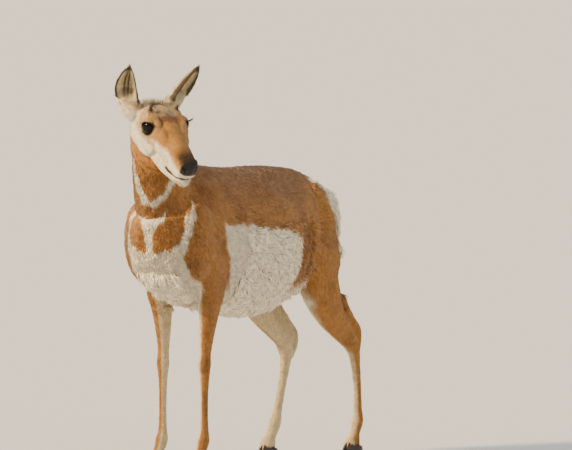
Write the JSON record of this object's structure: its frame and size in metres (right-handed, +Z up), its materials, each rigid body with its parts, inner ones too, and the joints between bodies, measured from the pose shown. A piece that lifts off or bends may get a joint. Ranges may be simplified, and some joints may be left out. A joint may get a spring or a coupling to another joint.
{
  "type": "pronghorn doe model",
  "caption": "Life-size still model of a standing pronghorn doe, head turned to her left, cream flanks, throat bands and rump patch.",
  "frame": {"origin": "middle of the footprint, on the floor the hooves stand on", "axes": "+X to the animal's left, -Y the way her body faces, +Z up"},
  "size_m": [0.3886, 1.1118, 1.1633],
  "materials": {
    "coat": "tan and cream hair coat",
    "flank_coat": "thick cream and tan hair coat",
    "rump_coat": "long white hair coat",
    "ear_skin": "short cream hair with dark rims",
    "eye": "wet gloss",
    "hoof": "dark horn, satin",
    "horn": "dark horn under hair, matte"
  },
  "bodies": {
    "root": {"barrel": "flank_coat", "chest": "coat", "ear_left": "ear_skin", "ear_right": "ear_skin", "eye_left": "eye", "eye_right": "eye", "fore_cannon_left": "coat", "fore_cannon_right": "coat", "fore_claw_left_inner": "hoof", "fore_claw_left_outer": "hoof", "fore_claw_right_inner": "hoof", "fore_claw_right_outer": "hoof", "fore_pastern_left": "coat", "fore_pastern_right": "coat", "forearm_left": "coat", "forearm_right": "coat", "head": "coat", "hind_cannon_left": "coat", "hind_cannon_right": "coat", "hind_claw_left_inner": "hoof", "hind_claw_left_outer": "hoof", "hind_claw_right_inner": "hoof", "hind_claw_right_outer": "hoof", "hind_pastern_left": "coat", "hind_pastern_right": "coat", "horn_left": "horn", "horn_right": "horn", "neck": "coat", "rump": "rump_coat", "shank_left": "coat", "shank_right": "coat", "tail": "rump_coat", "thigh_left": "coat", "thigh_right": "coat"}
  },
  "joints": []
}
